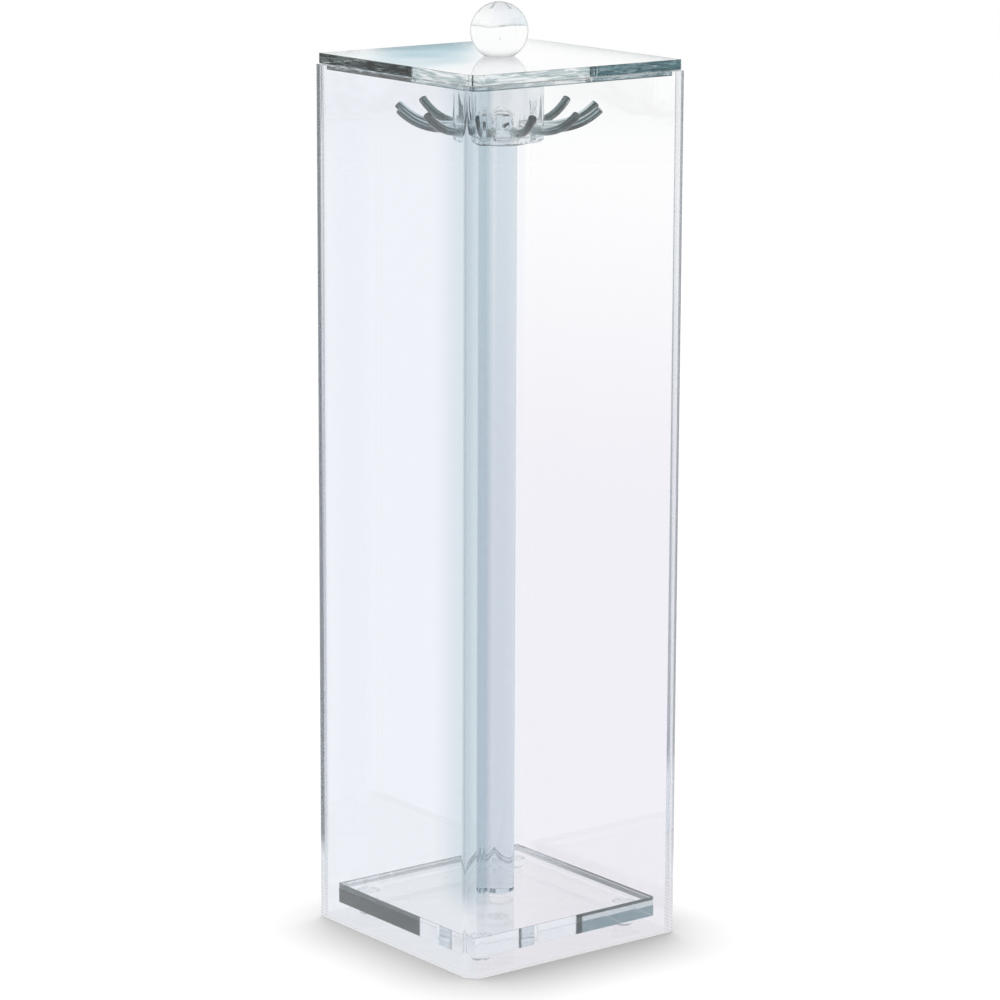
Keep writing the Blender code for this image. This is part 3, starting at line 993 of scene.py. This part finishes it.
def floor_paper():
    """Pale paper with a glow, faint for the camera and strong for what the acrylic shows."""
    material = bpy.data.materials.new("studio_floor")
    material.use_nodes = True
    tree = material.node_tree
    nodes, links = tree.nodes, tree.links
    nodes.remove(nodes["Principled BSDF"])
    paper = nodes.new("ShaderNodeBsdfDiffuse")
    paper.inputs["Color"].default_value = (FLOOR_GREY, FLOOR_GREY, FLOOR_GREY, 1)
    glow = nodes.new("ShaderNodeEmission")
    glow.inputs["Strength"].default_value = 1.0
    path = nodes.new("ShaderNodeLightPath").outputs
    through = link_math(tree, "MAXIMUM", path["Is Glossy Ray"], path["Is Transmission Ray"])
    through = link_product(tree, through, FLOOR_GLOW_THROUGH)
    direct = link_product(tree, path["Is Camera Ray"], FLOOR_GLOW)
    mix = nodes.new("ShaderNodeMixShader")
    links.new(link_math(tree, "MAXIMUM", through, direct), mix.inputs[0])
    links.new(paper.outputs[0], mix.inputs[1])
    links.new(glow.outputs[0], mix.inputs[2])
    links.new(mix.outputs[0], nodes["Material Output"].inputs["Surface"])
    return material


def make_floor():
    """A plain pale floor that keeps the object's shadow."""
    bm = bmesh.new()
    bmesh.ops.create_circle(bm, cap_ends=True, segments=FLOOR_STEPS, radius=FLOOR_RADIUS)
    mesh = bpy.data.meshes.new("studio_floor")
    bm.to_mesh(mesh)
    bm.free()
    floor = new_object("studio_floor", mesh, floor_paper())


def make_world():
    """Soft white surroundings with a darker ceiling, two dark flags at the sides and a card."""
    world = bpy.data.worlds.new("studio")
    bpy.context.scene.world = world
    world.use_nodes = True
    tree = world.node_tree
    path = tree.nodes.new("ShaderNodeLightPath").outputs
    direction = coordinate(tree, "Generated")
    rise = link_math(tree, "ARCSINE", parts_of(tree, direction)[2])
    ceiling = link_range(tree, rise, *CEILING_RANGE, 1.0, CEILING_LEVEL)
    level = link_vector(tree, "MULTIPLY", direction, (1, 1, 0)).outputs[0]
    way = link_vector(tree, "NORMALIZE", level).outputs[0]
    above = link_range(tree, rise, *FLAG_BOTTOM_RANGE)
    colour = CLEAR
    flags = ((RIGHT_FLAG_HEADING, RIGHT_FLAG), (LEFT_FLAG_HEADING, LEFT_FLAG))
    for heading, flag in flags:
        beside = link_towards(tree, way, heading, FLAG_HALF_WIDTH, FLAG_SOFTNESS)
        colour = link_mix(tree, link_product(tree, beside, above), colour, flag)
    # A small pale blue card behind the case, which the lid mirrors
    card = link_product(
        tree,
        link_towards(tree, way, CARD_HEADING, 0.0, CARD_SOFTNESS),
        link_range(tree, rise, *CARD_BOTTOM_RANGE),
        link_range(tree, rise, *CARD_TOP_RANGE, 1.0, 0.0),
        path["Is Glossy Ray"],
    )
    background = tree.nodes["Background"]
    tree.links.new(link_mix(tree, card, colour, CARD_COLOUR), background.inputs["Color"])
    # The floor gets most of its light from the lamp, so that its shadow stays close
    seen = link_math(tree, "MAXIMUM", path["Is Glossy Ray"], path["Is Transmission Ray"])
    seen = link_math(tree, "MAXIMUM", seen, path["Is Camera Ray"])
    strength = link_product(tree, ceiling, link_range(tree, seen, 0.0, 1.0, WORLD_LEVEL, 1.0))
    tree.links.new(strength, background.inputs["Strength"])


def towards(azimuth, elevation):
    """Unit vector to a place round the object: azimuth 0 is -Y, and turns towards +X."""
    level = math.cos(elevation)
    x, y = math.sin(azimuth) * level, -math.cos(azimuth) * level
    return Vector((x, y, math.sin(elevation)))


def make_lamp():
    """One large soft lamp, high up and a little behind the case."""
    lamp = bpy.data.lights.new("high_softbox", "SUN")
    lamp.energy = LAMP_STRENGTH
    lamp.angle = LAMP_SPREAD
    made = new_object("high_softbox", lamp)
    back = towards(LAMP_AZIMUTH, LAMP_ELEVATION)
    made.rotation_euler = back.to_track_quat("Z", "Y").to_euler()
    # It lights the floor; the acrylic shows the surroundings and no spot of the lamp
    made.visible_glossy = False
    made.visible_transmission = False


def make_camera():
    """The camera at the photograph's place."""
    roll = CAMERA_ROLL
    back = towards(CAMERA_AZIMUTH, CAMERA_ELEVATION)
    right = Vector((math.cos(CAMERA_AZIMUTH), math.sin(CAMERA_AZIMUTH), 0))
    up = back.cross(right)
    across = math.cos(roll) * right + math.sin(roll) * up
    upward = math.cos(roll) * up - math.sin(roll) * right
    aim = CAMERA_AIM_ASIDE * right + Vector((0, 0, CAMERA_AIM_HEIGHT))
    data = bpy.data.cameras.new("photo_camera")
    data.lens = CAMERA_LENS
    data.sensor_width = CAMERA_SENSOR
    camera = new_object("photo_camera", data)
    turn = Matrix((across, upward, back)).transposed().to_4x4()
    camera.matrix_world = Matrix.Translation(aim + back * CAMERA_DISTANCE) @ turn
    bpy.context.scene.camera = camera


def set_render_options():
    """Plain colours, and enough bounces for light to cross all the clear walls."""
    scene = bpy.context.scene
    scene.view_settings.view_transform = "Standard"
    scene.cycles.max_bounces = BOUNCES
    scene.cycles.transmission_bounces = BOUNCES
    scene.cycles.glossy_bounces = BOUNCES
    scene.cycles.transparent_max_bounces = TRANSPARENT_BOUNCES
    scene.cycles.caustics_reflective = False
    scene.cycles.caustics_refractive = False


make_camera()
foot_gel = clear_acrylic("foot_gel", FOOT_ABSORPTION, roughness=0.08)
hub_cast = clear_acrylic("hub_cast", HUB_ABSORPTION, swell=0.05)
washer_plastic = clear_acrylic("washer_plastic", WASHER_ABSORPTION, roughness=0.3)
make_case(front_acrylic(), wall_acrylic("rear_sheet"))
make_lid(lid_acrylic(), knob_acrylic())
make_stand(base_acrylic(), post_acrylic(), foot_gel)
make_head(hub_cast, hook_acrylic(), washer_plastic)
make_floor()
make_world()
make_lamp()
set_render_options()
